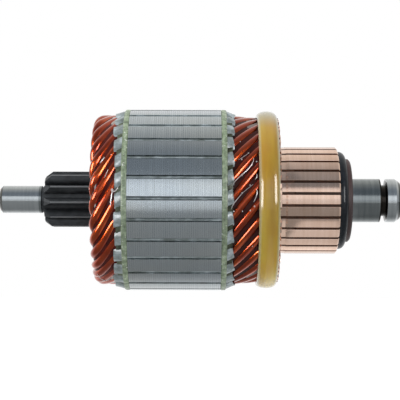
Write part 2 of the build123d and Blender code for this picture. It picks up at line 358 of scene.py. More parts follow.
def moulding_finish():
    """Black phenolic moulding, with a painted reflection of the copper that makes it dark brown in the gaps
    between the bars.
    """
    made = Finish("black_phenolic", Specular_IOR_Level=0.10, Coat_Weight=0.22, Coat_Roughness=0.06)
    cloud = made.noise(700)
    black = made.ramp(cloud, [(0.35, (0.007, 0.009, 0.012)), (0.75, (0.014, 0.017, 0.022))])
    # Painted reflection of the copper bars: dark brown in the gaps
    between = made.math("LESS_THAN", made.split()[0], TRACK_END * MM)
    made.colour(made.blend(between, black, (0.055, 0.024, 0.013)))
    made.roughness(cloud, 0.32, 0.50)
    made.bump(made.noise(1500), 0.3, 0.03 * MM)
    return made.material


def washer_finish():
    """Dark red-brown vulcanised fibre."""
    made = Finish("brown_fibre", Roughness=0.5)
    cloud = made.noise(500, (1, 0.4, 0.4))
    made.colour(made.ramp(cloud, [(0.35, (0.034, 0.014, 0.013)), (0.75, (0.060, 0.026, 0.024))]))
    made.bump(made.noise(900), 0.4, 0.04 * MM)
    return made.material


def varnish_and_glint_finish():
    """Pale hardened varnish in threads, and the colour of painted glints in the drops and in some threads.
    """
    made = Finish("clear_varnish_and_glint", Roughness=0.12, Coat_Weight=1.0, Coat_Roughness=0.05)
    cloud = made.noise(500)
    made.colour(made.ramp(cloud, [(0.3, (0.42, 0.37, 0.36)), (0.7, (0.64, 0.57, 0.56))]))
    return made.material


# Meshes


def add_piece(name, work, material, replaced=(), smooth=radians(35)):
    """Turn a finished bmesh into a piece of the object that rides on its one body."""
    mesh = bpy.data.meshes.new(name)
    bmesh.ops.recalc_face_normals(work, faces=work.faces)
    work.to_mesh(mesh)
    work.free()
    mesh.materials.append(material)
    mesh.shade_smooth()
    mesh.set_sharp_from_angle(angle=smooth)
    piece = bpy.data.objects.new(name, mesh)
    bpy.context.scene.collection.objects.link(piece)
    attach(piece, "root")
    if replaced:
        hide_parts(*replaced)


def join_rings(work, first, second):
    """Join two rings of vertices by quads."""
    count = len(first)
    for index in range(count):
        after = (index + 1) % count
        work.faces.new((first[index], first[after], second[after], second[index]))


def loft_rings(work, rings, closed=False):
    """Join rings of points by quads; the last joins the first if closed, or else both ends are capped."""
    made = [[work.verts.new(point) for point in ring] for ring in rings]
    for first, second in zip(made, made[1:]):
        join_rings(work, first, second)
    if closed:
        join_rings(work, made[-1], made[0])
    else:
        work.faces.new(made[0])
        work.faces.new(list(reversed(made[-1])))


def tube(work, points, radii, sides):
    """A round tube along points, with a radius at each, its section square to the path and flat ends."""
    rings = []
    side = None
    for index, (point, radius) in enumerate(zip(points, radii)):
        before = points[max(index - 1, 0)]
        after = points[min(index + 1, len(points) - 1)]
        ahead = (after - before).normalized()
        if side is None:
            side = ahead.orthogonal().normalized()
        side = (side - ahead * side.dot(ahead)).normalized()
        other = ahead.cross(side)
        angles = [2 * pi * step / sides for step in range(sides)]
        rings.append([point + (side * cos(angle) + other * sin(angle)) * radius for angle in angles])
    loft_rings(work, rings)


def revolve_profile(work, profile, steps):
    """Revolve a closed profile of (x, radius) in millimetres about the shaft axis."""
    rings = [[around(x, radius, 360 * step / steps) for x, radius in profile] for step in range(steps)]
    loft_rings(work, rings, closed=True)


# Winding: the same route as the CAD wires, with more stations
HEAD_MIDDLE = (TOP_LAYER + BOTTOM_LAYER) / 2
HEAD_HEIGHT = (TOP_LAYER - BOTTOM_LAYER) / 2
HEAD_CENTRE = DRIVE_FACE - HEAD_REACH + HEAD_BULGE
HEAD_EXIT = DRIVE_FACE - SLEEVE
LEAD_EXIT = LEAD_FACE + SLEEVE
HEAD_RUN = HEAD_EXIT - HEAD_CENTRE
HEAD_QUARTER = pi / 2 * sqrt((HEAD_BULGE**2 + HEAD_HEIGHT**2) / 2)
HEAD_RATE = COIL_PITCH * SLOT_PITCH / 2 / (HEAD_RUN + HEAD_QUARTER - BEND / 2)
LEAD_LENGTH = RISER_START - LEAD_EXIT
LEAD_TURN = LEAD_PITCH * SLOT_PITCH
LEAD_RATE = LEAD_TURN / (LEAD_LENGTH - BEND)
WIRE_TIP = RISER_END - 0.7
LEAD_STEPS, HEAD_STEPS, BEND_STEPS = 14, 10, 16
WIRE_SIDES = 18


def head_lean(distance):
    """Turn of a wire past its slot on the way to the middle of its head."""
    if distance < BEND:
        return HEAD_RATE * distance**2 / (2 * BEND)
    return HEAD_RATE * (distance - BEND / 2)


def lead_lean(distance):
    """Turn of a wire past its slot on the way to its riser."""
    left = LEAD_LENGTH - distance
    if distance < BEND:
        return LEAD_RATE * distance**2 / (2 * BEND)
    if left < BEND:
        return LEAD_TURN - LEAD_RATE * left**2 / (2 * BEND)
    return LEAD_RATE * (distance - BEND / 2)


def half_wire(layer, end_layer):
    """Stations of one leg of a hairpin, from its riser to the start of its head."""
    stations = [(WIRE_TIP, end_layer, -LEAD_TURN)]
    for step in range(LEAD_STEPS + 1):
        distance = LEAD_LENGTH * (1 - step / LEAD_STEPS)
        radius = mix_value(layer, end_layer, distance / LEAD_LENGTH)
        stations.append((LEAD_EXIT + distance, radius, -lead_lean(distance)))
    for step in range(HEAD_STEPS):
        distance = HEAD_RUN * step / HEAD_STEPS
        stations.append((HEAD_EXIT - distance, layer, head_lean(distance)))
    return stations


def head_arc(offset, steps):
    """Places (x, radius) round the end of a coil head, at an offset out from the wires' middle line."""
    arc = []
    for step in range(steps + 1):
        angle = pi * step / steps
        x = HEAD_CENTRE - (HEAD_BULGE + offset) * sin(angle)
        arc.append((x, HEAD_MIDDLE + (HEAD_HEIGHT + offset) * cos(angle)))
    return arc


def wire_stations():
    """Stations (x, radius, turn from the slot) of a whole hairpin."""
    head = []
    for step, (x, radius) in enumerate(head_arc(0.0, BEND_STEPS)):
        passed = HEAD_RUN + HEAD_QUARTER * 2 * step / BEND_STEPS
        head.append((x, radius, HEAD_RATE * (passed - BEND / 2)))
    leg = half_wire(BOTTOM_LAYER, RISER_LAYER - RISER_STEP)
    back = [(x, radius, COIL_PITCH * SLOT_PITCH - turn) for x, radius, turn in reversed(leg)]
    return half_wire(TOP_LAYER, RISER_LAYER) + head + back


def wire_radius(x):
    """The wire is bare in the slots and at the risers, and thicker where varnish coats it."""
    bare = DRIVE_FACE < x < LEAD_FACE or x > RISER_START - 1
    return WIRE_RADIUS if bare else COATED_RADIUS


def make_winding(material):
    """Twenty-eight hairpins, each a piece of its own."""
    stations = wire_stations()
    radii = [wire_radius(x) * MM for x, radius, turn in stations]
    for coil in range(SLOT_COUNT):
        work = bmesh.new()
        points = [around(x, radius, coil * SLOT_PITCH + turn) for x, radius, turn in stations]
        tube(work, points, radii, WIRE_SIDES)
        name = f"hairpin_{coil + 1:02d}"
        add_piece(f"wire_{coil + 1:02d}", work, material, (name,))


# Core: insets of a sheet's face and edge, its bevel as a share of its thickness, and its twist in degrees
SHEET_COUNT = 44
SHEET_FACE, SHEET_EDGE = 0.006, 0.05
SHEET_BEVEL, SHEET_TWIST = 0.04, 0.03
TOOTH_STEPS = 7


def slot_corner(height, across, middle):
    """Radius and turn of a point beside a slot's middle line, whose own turn is given."""
    return hypot(height, across), middle + degrees(atan2(across, height))


def sheet_contour(inset, twist):
    """Outline of one sheet, slot after slot, as (radius, turn) with the slots' corners."""
    outline = []
    half, mouth = SLOT_WIDTH / 2, SLOT_MOUTH / 2 + inset
    mouth_turn = degrees(mouth / CORE_RADIUS)
    for slot in range(SLOT_COUNT):
        middle = slot * SLOT_PITCH
        after = middle + SLOT_PITCH
        corners = [(SLOT_BOTTOM, -half), (SLOT_BOTTOM, half), (SLOT_TOP, half), (SLOT_TOP, mouth)]
        outline += [slot_corner(height, across, middle) for height, across in corners]
        start, end = middle + mouth_turn + twist, after - mouth_turn + twist
        for step in range(TOOTH_STEPS + 1):
            outline.append((CORE_RADIUS - inset, mix_value(start, end, step / TOOTH_STEPS)))
        outline += [slot_corner(SLOT_TOP, across, after) for across in (-mouth, -half)]
    return outline


def stack_rings(work, stations):
    """Close a stack of slotted sections: each station is a place and its outline of (radius, turn)."""
    made = [[work.verts.new(around(x, radius, turn)) for radius, turn in outline] for x, outline in stations]
    for first, second in zip(made, made[1:]):
        join_rings(work, first, second)
    count = len(made[0])
    per_slot = count // SLOT_COUNT
    bores = []
    for ring, x in ((made[0], stations[0][0]), (made[-1], stations[-1][0])):
        bore = [work.verts.new(around(x, CORE_BORE, slot * SLOT_PITCH)) for slot in range(SLOT_COUNT)]
        for slot in range(SLOT_COUNT):
            begin = slot * per_slot
            tooth = [ring[(begin + 1 + step) % count] for step in range(per_slot)]
            work.faces.new([*tooth, bore[(slot + 1) % SLOT_COUNT], bore[slot]])
            work.faces.new((ring[begin], ring[begin + 1], bore[slot]))
        bores.append(bore)
    join_rings(work, *bores)


def make_core(material):
    """The stack of sheets as one closed mesh with a fine groove between each two."""
    work = bmesh.new()
    thickness = (CORE_END - CORE_START) / SHEET_COUNT
    stations = []
    for sheet in range(SHEET_COUNT):
        start = CORE_START + sheet * thickness
        twist = random.uniform(-SHEET_TWIST, SHEET_TWIST)
        for share, inset in ((0, SHEET_EDGE), (SHEET_BEVEL, SHEET_FACE), (1 - SHEET_BEVEL, SHEET_FACE)):
            stations.append((start + share * thickness, sheet_contour(inset, twist)))
    stations.append((CORE_END, sheet_contour(SHEET_EDGE, 0.0)))
    stack_rings(work, stations)
    add_piece("core_sheets", work, material, ("lamination_stack",), smooth=radians(20))


# Fibre discs: the rim's insets by shares of the thickness, and the depth of its dents
RIM_STEPS = 10
RIM_DENT = 0.06
RIM_PROFILE = [(0.0, 0.40), (0.06, 0.18), (0.18, 0.04), (0.5, 0.0), (0.8, 0.03), (0.94, 0.14), (1.0, 0.30)]


def disc_face(work, x, rim, reverse):
    """One flat side of a disc from its rim to its bore; returns the corners of its windows and its bore."""
    half = SLOT_WIDTH / 2
    corners = [(SLOT_TOP, -half), (SLOT_TOP, half), (SLOT_BOTTOM, half), (SLOT_BOTTOM, -half)]
    windows = []
    for slot in range(SLOT_COUNT):
        places = [slot_corner(height, across, slot * SLOT_PITCH) for height, across in corners]
        windows.append([work.verts.new(around(x, radius, turn)) for radius, turn in places])
    bore = [work.verts.new(around(x, CORE_BORE, (slot - 0.5) * SLOT_PITCH)) for slot in range(SLOT_COUNT)]
    for slot in range(SLOT_COUNT):
        after = (slot + 1) % SLOT_COUNT
        top_left, top_right, low_right, low_left = windows[slot]
        next_top, next_low = windows[after][0], windows[after][3]
        arc = [rim[(slot * RIM_STEPS + step) % len(rim)] for step in range(RIM_STEPS + 1)]
        polygons = [
            [*arc, top_right, top_left], [arc[-1], next_top, next_low, low_right, top_right],
            [low_left, low_right, bore[after], bore[slot]], [low_right, next_low, bore[after]],
        ]
        for polygon in polygons:
            work.faces.new(list(reversed(polygon)) if reverse else polygon)
    return windows, bore


def make_discs(material):
    """The two fibre discs."""
    for name, start in (("drive_end_disc", DRIVE_FACE), ("commutator_end_disc", CORE_END)):
        work = bmesh.new()
        rings = []
        for share, inset in RIM_PROFILE:
            ring = []
            for step in range(SLOT_COUNT * RIM_STEPS):
                dent = random.uniform(0.0, RIM_DENT)
                turn = (step / RIM_STEPS - 0.5) * SLOT_PITCH
                point = around(start + share * DISC_THICKNESS, CORE_RADIUS - inset - dent, turn)
                ring.append(work.verts.new(point))
            rings.append(ring)
        for first, second in zip(rings, rings[1:]):
            join_rings(work, first, second)
        near_windows, near_bore = disc_face(work, start, rings[0], True)
        far_windows, far_bore = disc_face(work, start + DISC_THICKNESS, rings[-1], False)
        for near, far in zip(near_windows, far_windows):
            join_rings(work, near, far)
        join_rings(work, near_bore, far_bore)
        add_piece(f"{name}_soft", work, material, (name,), smooth=radians(60))


# Slot liners: a sleeve in the slot, a ridge that closes it and a cuff at each end
LINER_WALL = 0.2
LINER_PLAY = 0.05
RIDGE_TOP, RIDGE_HALF_WIDTH = 28.4, 0.46
RIDGE_SHOULDER, RIDGE_CREST, RIDGE_TUCK = 0.3, 0.15, 0.1
CUFF_LENGTH, CUFF_SHIFT, CUFF_ARCH, CUFF_LIP = 2.6, 1.1, 0.95, 0.10
CUFF_RADIUS, CUFF_TIP_RADIUS = 28.3, 27.5
CUFF_HALF_WIDTH, CUFF_ROOT_WALL, CUFF_WALL = 2.42, 0.5, 0.3
CUFF_STEPS = 8
# Shares of a cuff's length: in front and at the back, over and under the axis, and at its one cut edge
SHORT_CUFF, LONG_CUFF, CUFF_CUT = 0.80, 1.20, 0.60
# Shares of a cuff's form: how far its corners are cut, where its lip starts and how its lower edge leans
CORNER_CUT, LIP_START, LOW_LEAN = 0.10, 0.8, 0.4
# Powers that round the arch and the corners
ARCH_POWER, CORNER_POWER = 2.6, 6
# How much the length, the lean and the sag of the tip change from cuff to cuff
CUFF_SPREADS = ((0.88, 1.06), (0.6, 1.3), (-0.1, 0.35))


def cuff_point(face, side, turn, along, across, drop, crumple):
    """A point on a cuff: along from 0 to 1 away from the disc, across from -1 to 1, a drop below its top."""
    stretch, sway, sag = crumple
    upper = (1 - side * across) / 2
    arch = CUFF_ARCH * abs(across) ** ARCH_POWER
    lip = CUFF_LIP * max(0.0, along - LIP_START) / (1 - LIP_START)
    radius = mix_value(CUFF_RADIUS, CUFF_TIP_RADIUS - sag * along, along) - arch + lip - drop
    lean = -side * CUFF_SHIFT * along * mix_value(LOW_LEAN, 1.0, upper) * sway
    length = CUFF_LENGTH * stretch * mix_value(SHORT_CUFF, LONG_CUFF, sin(radians(turn)) ** 2)
    cut = mix_value(1.0, CUFF_CUT, upper if side > 0 else 0.0)
    reach = length * along * (1 - CORNER_CUT * across**CORNER_POWER) * cut
    shift = degrees((CUFF_HALF_WIDTH * across + lean) / radius)
    return around(face + side * reach, radius, turn + shift)


def section(x, corners, turn):
    """Points at a place along the shaft from corners (height, across) beside a slot's middle line."""
    return [around(x, *slot_corner(height, across, turn)) for height, across in corners]


def liner_corners(wall):
    """Corners of a liner's outside, or of its inside where a wall is given."""
    inset = LINER_PLAY + wall
    low, high, half = SLOT_BOTTOM + inset, SLOT_TOP - inset, SLOT_WIDTH / 2 - inset
    return [(low, -half), (low, half), (high, half), (high, -half)]


def add_sleeve(work, turn):
    """The part of a liner in its slot and in both discs."""
    outer, inner = liner_corners(0.0), liner_corners(LINER_WALL)
    stations = ((HEAD_EXIT, outer), (LEAD_EXIT, outer), (LEAD_EXIT, inner), (HEAD_EXIT, inner))
    loft_rings(work, [section(x, corners, turn) for x, corners in stations], closed=True)


def add_ridge(work, turn):
    """The ridge that fills the slot's mouth and shows as a thin line across both discs."""
    low, shoulder = SLOT_TOP - LINER_PLAY, RIDGE_TOP - RIDGE_SHOULDER
    ridge = [(low, -RIDGE_HALF_WIDTH), (shoulder, -RIDGE_HALF_WIDTH), (RIDGE_TOP, -RIDGE_CREST)]
    ridge += [(height, -across) for height, across in reversed(ridge)]
    loft_rings(work, [section(x, ridge, turn) for x in (DRIVE_FACE + RIDGE_TUCK, LEAD_FACE - RIDGE_TUCK)])


def add_cuff(work, face, side, turn):
    """One cuff, arched and crumpled."""
    crumple = [random.uniform(*spread) for spread in CUFF_SPREADS]
    across_steps = [2 * step / CUFF_STEPS - 1 for step in range(CUFF_STEPS + 1)]
    rings = []
    for step in range(CUFF_STEPS + 1):
        along = step / CUFF_STEPS
        wall = mix_value(CUFF_ROOT_WALL, CUFF_WALL, along)
        above = [cuff_point(face, side, turn, along, across, 0, crumple) for across in across_steps]
        below = [cuff_point(face, side, turn, along, across, wall, crumple) for across in across_steps]
        rings.append(above + below[::-1])
    loft_rings(work, rings)


def make_liners(material):
    """Twenty-eight paper sleeves with an arched cuff at each end."""
    work = bmesh.new()
    for slot in range(SLOT_COUNT):
        turn = slot * SLOT_PITCH
        add_sleeve(work, turn)
        add_ridge(work, turn)
        for face, side in ((DRIVE_FACE, -1), (LEAD_FACE, 1)):
            add_cuff(work, face, side, turn)
    add_piece("slot_papers", work, material, ("slot_liners",))


# Band: its dome starts a little lower than its edges, and its bore is a little shorter than the dome
BAND_CURL, BAND_TUCK = 0.3, 0.1
BAND_STEPS, BAND_SEGMENTS = 22, 168


def make_band(material):
    """Domed resin band with softly rounded edges, thicker on its upper side."""
    work = bmesh.new()
    middle, half = (BAND_START + BAND_END) / 2, (BAND_END - BAND_START) / 2
    base = BAND_EDGE - BAND_CURL
    rings = []
    for segment in range(BAND_SEGMENTS):
        turn = 360 * segment / BAND_SEGMENTS
        crown = BAND_CROWN + BAND_SWELL * (1 - sin(radians(turn))) / 2
        ring = [around(x, BAND_INNER, turn) for x in (BAND_END - BAND_TUCK, BAND_START + BAND_TUCK)]
        for step in range(BAND_STEPS + 1):
            angle = pi * step / BAND_STEPS
            ring.append(around(middle - half * cos(angle), base + (crown - base) * sin(angle), turn))
        rings.append(ring)
    loft_rings(work, rings, closed=True)
    add_piece("resin_band", work, material, ("winding_band",))


# Commutator bars with soft edges
TRACK_RADIUS, RISER_RADIUS = 16.9, 26.2
BAR_INNER, KEY_INNER = 13.0, 11.2
BAR_GAP, BAR_EDGE, SOFTENING = 0.8, 0.12, 0.1
KEY_MIDDLE, KEY_HALF, KEY_FLARE = 33.8, 4.0, 1.5
TRACK_OVERLAP, KEY_OVERLAP = 0.05, 0.1
NOTCH_BOTTOM, NOTCH_HALF = 20.8, 1.3
RELIEF_START, RELIEF_END, RELIEF_DEPTH = 24.75, 26.85, 0.10
RELIEF_SLOPES = (0.40, 0.30)
TRACK_STEPS = 5
# Along a track: the place, the depth below its surface and the width of its softened edges
TRACK_STATIONS = [
    (RISER_END - TRACK_OVERLAP, 0.0, BAR_EDGE), (RELIEF_START, 0.0, BAR_EDGE),
    (RELIEF_START + RELIEF_SLOPES[0], RELIEF_DEPTH, BAR_EDGE),
    (RELIEF_END - RELIEF_SLOPES[1], RELIEF_DEPTH, BAR_EDGE), (RELIEF_END, 0.0, BAR_EDGE),
    (TRACK_END - TRACK_CHAMFER, 0.0, BAR_EDGE), (TRACK_END - SOFTENING, TRACK_CHAMFER - SOFTENING, BAR_EDGE),
    (TRACK_END, TRACK_CHAMFER, 2 * BAR_EDGE),
]
# Along a riser: the place and how much smaller it is there
RISER_STATIONS = [
    (RISER_START, SOFTENING), (RISER_START + SOFTENING, 0.0),
    (RISER_END - SOFTENING, 0.0), (RISER_END, SOFTENING),
]
# Along a key towards the shaft: the radius and half the length
KEY_STATIONS = [
    (BAR_INNER + KEY_OVERLAP, KEY_HALF), (BAR_INNER, KEY_HALF), (KEY_INNER, KEY_HALF + KEY_FLARE),
]


def bar_turn(radius, edge=0.0):
    """Half the turn that a bar fills at a radius, less an edge."""
    return SLOT_PITCH / 2 - degrees(asin((BAR_GAP / 2 + edge) / radius))


def add_track(work, turn):
    """The track of one bar, with a shallow relief cut in front of the riser."""
    foot = bar_turn(BAR_INNER)
    rings = []
    for x, depth, edge in TRACK_STATIONS:
        radius = TRACK_RADIUS - depth
        side, top = bar_turn(radius - edge), bar_turn(radius, edge)
        ring = [(BAR_INNER, -foot), (radius - edge, -side)]
        ring += [(radius, mix_value(-top, top, step / TRACK_STEPS)) for step in range(TRACK_STEPS + 1)]
        ring += [(radius - edge, side), (BAR_INNER, foot)]
        rings.append([around(x, height, turn + lean) for height, lean in ring])
    loft_rings(work, rings)


def add_riser(work, turn):
    """The riser of one bar, with a notch for the wires."""
    foot = bar_turn(BAR_INNER)
    notch_top = degrees(asin(NOTCH_HALF / RISER_RADIUS))
    notch_low = degrees(asin(NOTCH_HALF / NOTCH_BOTTOM))
    rings = []
    for x, inset in RISER_STATIONS:
        outer = RISER_RADIUS - inset
        side = bar_turn(outer, inset)
        ring = [(BAR_INNER, -foot), (outer, -side), (outer, -notch_top), (NOTCH_BOTTOM, -notch_low)]
        ring += [(height, -lean) for height, lean in reversed(ring)]
        rings.append([around(x, height, turn + lean) for height, lean in ring])
    loft_rings(work, rings)


def add_key(work, turn):
    """The flared foot of one bar, which the moulding holds."""
    rings = []
    for radius, half in KEY_STATIONS:
        side = bar_turn(radius)
        corners = ((-half, -side), (half, -side), (half, side), (-half, side))
        rings.append([around(KEY_MIDDLE + along, radius, turn + lean) for along, lean in corners])
    loft_rings(work, rings)


def make_bars(material):
    """Twenty-eight copper bars, each a riser, a bevelled track and a keyed foot."""
    work = bmesh.new()
    for bar in range(SLOT_COUNT):
        turn = bar * SLOT_PITCH
        add_track(work, turn)
        add_riser(work, turn)
        add_key(work, turn)
    add_piece("copper_segments", work, material, ("commutator_bars",), smooth=radians(25))


# Hardened varnish: films that close the gaps between the wires, fillets at the discs, and stray threads;
# some threads and all the drops are painted glints
FILM_START = 0.2
FILM_SEGMENTS, LEAD_FILM_SEGMENTS, FILM_STEPS = 168, 112, 12
# The head film's top: places from the end of the sleeves, and heights over the top layer's middle
FILM_TOP = [(FILM_START, 1.20), (-1.5, 1.18), (-3.2, 0.98), (-4.9, 0.76)]
FILM_OUT, FILM_IN = 0.50, 0.1
# The lead film: its height over the wires' middle, half its thickness and its gap to what bounds it
LEAD_FILM_HEIGHT, LEAD_FILM_HALF, LEAD_FILM_GAP = 0.55, 0.15, 0.1
# A fillet's section: places from the disc's face, and radii
FILLET = [(-0.1, 27.5), (0.5, 27.35), (1.6, 27.05), (1.6, 26.75), (-0.1, 26.75)]


def painted_reflection_zone(made, height, start):
    """1 past a height over or under the axis and past a place along the shaft, else 0."""
    parts = made.split()
    tall = made.math("GREATER_THAN", made.math("ABSOLUTE", parts[2]), height * MM)
    return made.math("MULTIPLY", tall, made.math("GREATER_THAN", parts[0], start * MM))


def head_film_finish():
    """Glossy maroon varnish, paler near the core over and under the axis by a painted reflection."""
    made = Finish(
        "maroon_varnish", Roughness=0.5, Specular_IOR_Level=0.0, Coat_Weight=0.45, Coat_Roughness=0.05,
    )
    maroon = made.ramp(made.noise(300), [(0.3, (0.030, 0.004, 0.003)), (0.7, (0.075, 0.010, 0.007))])
    # Painted reflection: paler over and under the axis near the core
    painted_reflection = painted_reflection_zone(made, HEAD_REFLECTION_HEIGHT, HEAD_REFLECTION_START)
    made.colour(made.blend(painted_reflection, maroon, (0.30, 0.27, 0.25)))
    made.bump(made.noise(300, detail=2.0), 0.6, 0.20 * MM)
    return made.material


def lead_film_finish():
    """Dark varnish, paler near the band over and under the axis by a painted reflection."""
    made = Finish(
        "dark_varnish", Roughness=0.5, Specular_IOR_Level=0.05, Coat_Weight=0.12, Coat_Roughness=0.08,
    )
    dark = made.ramp(made.noise(260), [(0.3, (0.020, 0.004, 0.003)), (0.7, (0.045, 0.009, 0.007))])
    # Painted reflection: paler over and under the axis near the band
    painted_reflection = painted_reflection_zone(made, LEAD_REFLECTION_HEIGHT, LEAD_REFLECTION_START)
    made.colour(made.blend(painted_reflection, dark, (0.16, 0.13, 0.12)))
    made.bump(made.noise(400), 0.6, 0.15 * MM)
    return made.material


def fillet_finish():
    """Olive varnish whose dark tone is partly painted shade under the cuffs, paler at the drive end."""
    made = Finish(
        "olive_varnish_and_shade", Roughness=0.5, Specular_IOR_Level=0.1, Coat_Weight=0.25, Coat_Roughness=0.10,
    )
    cloud = made.noise(500)
    # The dark tone is partly painted shade in the gaps under the cuffs; the drive end takes a paler copy
    olive = made.ramp(cloud, [(0.3, (0.012, 0.015, 0.008)), (0.7, (0.065, 0.075, 0.042))])
    pale = made.ramp(cloud, [(0.3, (0.035, 0.045, 0.030)), (0.7, (0.13, 0.15, 0.10))])
    at_drive = made.math("LESS_THAN", made.split()[0], 0.0)
    made.colour(made.blend(at_drive, olive, pale))
    made.bump(made.noise(500), 0.6, 0.15 * MM)
    return made.material


def make_head_film(material):
    """A film in the gaps of the coil heads, round their end and back under them."""
    start = HEAD_EXIT + FILM_START
    profile = [(HEAD_EXIT + along, TOP_LAYER + height) for along, height in FILM_TOP]
    profile += head_arc(FILM_OUT, FILM_STEPS)
    profile += [(start, BOTTOM_LAYER - FILM_OUT), (start, BOTTOM_LAYER + FILM_IN)]
    profile += reversed(head_arc(-FILM_IN, FILM_STEPS))
    profile.append((start, TOP_LAYER - FILM_IN))
    work = bmesh.new()
    revolve_profile(work, profile, FILM_SEGMENTS)
    add_piece("head_varnish", work, material)


def make_lead_film(material):
    """A film in the gaps of the top layer of the leads."""
    ends = (
        (LEAD_EXIT + LEAD_FILM_GAP, TOP_LAYER + LEAD_FILM_HEIGHT),
        (RISER_START - LEAD_FILM_GAP, RISER_LAYER + LEAD_FILM_HEIGHT),
    )
    profile = [(x, radius + LEAD_FILM_HALF) for x, radius in ends]
    profile += [(x, radius - LEAD_FILM_HALF) for x, radius in reversed(ends)]
    work = bmesh.new()
    revolve_profile(work, profile, LEAD_FILM_SEGMENTS)
    add_piece("lead_varnish", work, material)


def make_fillets(material):
    """A small fillet of varnish under the cuffs at each disc."""
    for name, face, side in (("drive", DRIVE_FACE, -1), ("lead", LEAD_FACE, 1)):
        work = bmesh.new()
        revolve_profile(work, [(face + side * along, radius) for along, radius in FILLET], FILM_SEGMENTS)
        add_piece(f"{name}_fillet", work, material)


DEPTH_ROUNDS = 6


def from_pixel(column, row, radius):
    """The point that a pixel shows on a cylinder about the shaft, whose radius is in millimetres."""
    across, up = (column - MIDDLE_PIXEL) / PIXELS_PER_MM, (MIDDLE_PIXEL - row) / PIXELS_PER_MM
    # The depth and the shrinking with distance depend on each other, so both are found in rounds
    depth = radius
    for repeat in range(DEPTH_ROUNDS):
        shrink = 1 - depth * MM / CAMERA_DISTANCE
        depth = sqrt(max(radius**2 - (up * shrink) ** 2, 0.0))
    forward, upward = -depth, up * shrink
    turned = (forward * cos(RISE) + upward * sin(RISE), upward * cos(RISE) - forward * sin(RISE))
    return Vector((across * shrink, *turned)) * MM


# Threads: distance from the axis and own radius in millimetres, and the pixels (column, row) on the way
THREADS = [
    (27.2, 0.20, [(118, 187), (115.5, 191), (112.5, 191.5), (111.5, 189)]),
    (27.15, 0.19, [(112.3, 191), (111.4, 196), (110.8, 202), (110.4, 207)]),
    # These four, in the valleys of the drive-end head, are painted glints
    (26.9, 0.20, [(104.5, 157.5), (102.5, 160), (99.8, 163.5)]),
    (26.7, 0.15, [(108, 169.5), (106.5, 173.5), (104.5, 177.5), (102.5, 181)]),
    (26.5, 0.11, [(99, 186.5), (97.5, 188.5), (96, 189.8)]),
    (26.5, 0.11, [(102.5, 203), (100.5, 205.5), (98, 207.8)]),
    (27.0, 0.09, [(97, 274), (101, 279), (107, 281), (113, 277)]),
    (27.2, 0.16, [
        (253.6, 157.8), (252.8, 162), (249.8, 166.7), (245.9, 171), (241.4, 175), (237, 179), (232.6, 184),
    ]),
    (27.1, 0.13, [(242.2, 193), (238.7, 197.2), (233.9, 203.2), (231.8, 207.2), (230.8, 211.8)]),
    (26.9, 0.14, [(256.7, 189), (257, 192.8), (255.9, 197.2), (253.7, 201.7)]),
    (26.8, 0.12, [(256.7, 173.8), (256.9, 176.5), (255.2, 179)]),
    (26.9, 0.06, [(248.2, 153.2), (243, 156.8), (238, 160)]),
    (26.9, 0.06, [(253, 184), (247, 189), (242.2, 193)]),
]
# Drops, which are painted glints: distance from the axis and own radius in millimetres, and the pixel's
# column and row
GLINT_DROPS = [
    (27.1, 0.50, 112, 190.5), (26.9, 0.22, 248.4, 153.0), (26.9, 0.24, 241.6, 159.2),
    (27.0, 0.20, 241.8, 175.4), (27.0, 0.22, 242.3, 192.8), (26.9, 0.20, 250.0, 185.0),
    (27.1, 0.22, 233.8, 211.2), (27.0, 0.20, 242.4, 211.1), (26.9, 0.22, 250.4, 210.3),
    (26.8, 0.24, 254.6, 206.2), (26.8, 0.20, 256.2, 161.5), (26.9, 0.18, 247.5, 232.4),
    (26.9, 0.16, 240.0, 141.5), (26.8, 0.18, 252.5, 246.0), (27.0, 0.16, 111.2, 155.0),
    (27.0, 0.16, 112.3, 171.3),
]
DROP_SHAPE = Vector((0.8, 0.6, 1.1))
DROP_SEGMENTS, DROP_RINGS = 14, 8
PATH_PARTS, THREAD_SIDES = 5, 8
# A thread's radius at both of its ends, as a share of that at its middle
THREAD_TIP = 0.45


def smooth_path(places):
    """Points of a smooth curve through some places."""
    points = []
    for index, (first, second) in enumerate(zip(places, places[1:])):
        before, after = places[max(index - 1, 0)], places[min(index + 2, len(places) - 1)]
        slope = second - before
        curve = 2 * before - 5 * first + 4 * second - after
        swing = 3 * first - before - 3 * second + after
        for part in range(PATH_PARTS):
            share = part / PATH_PARTS
            points.append(0.5 * (2 * first + slope * share + curve * share**2 + swing * share**3))
    points.append(places[-1])
    return points


def make_threads(material):
    """Stray threads of varnish, some of them painted glints, and drops that are painted glints, on the wires
    where the photograph has them.
    """
    for index, (height, radius, pixels) in enumerate(THREADS):
        points = smooth_path([from_pixel(column, row, height) for column, row in pixels])
        last = len(points) - 1
        radii = [radius * MM * mix_value(THREAD_TIP, 1.0, sin(pi * step / last)) for step in range(last + 1)]
        work = bmesh.new()
        tube(work, points, radii, THREAD_SIDES)
        add_piece(f"varnish_and_glint_thread_{index + 1}", work, material)
    work = bmesh.new()
    for height, radius, column, row in GLINT_DROPS:
        ball = bmesh.ops.create_uvsphere(
            work, u_segments=DROP_SEGMENTS, v_segments=DROP_RINGS, radius=radius * MM,
        )
        place = from_pixel(column, row, height)
        for vert in ball["verts"]:
            vert.co = vert.co * DROP_SHAPE + place
    add_piece("glint_drops", work, material)


def dress_node(name, material):
    """A CAD node keeps its shape and takes a finish."""
    mesh = NODES[name].data
    mesh.materials.clear()
    mesh.materials.append(material)


# Light, backdrop and camera


def area_light(name, place, rotation, size, power, colour=(1, 1, 1)):
    """A rectangular lamp that the camera does not see."""
    data = bpy.data.lights.new(name, "AREA")
    data.shape = "RECTANGLE"
    data.size, data.size_y = size
    data.energy = power
    data.color = colour
    lamp = bpy.data.objects.new(name, data)
    lamp.location = place
    lamp.rotation_euler = rotation
    lamp.visible_camera = False
    bpy.context.scene.collection.objects.link(lamp)
    return lamp


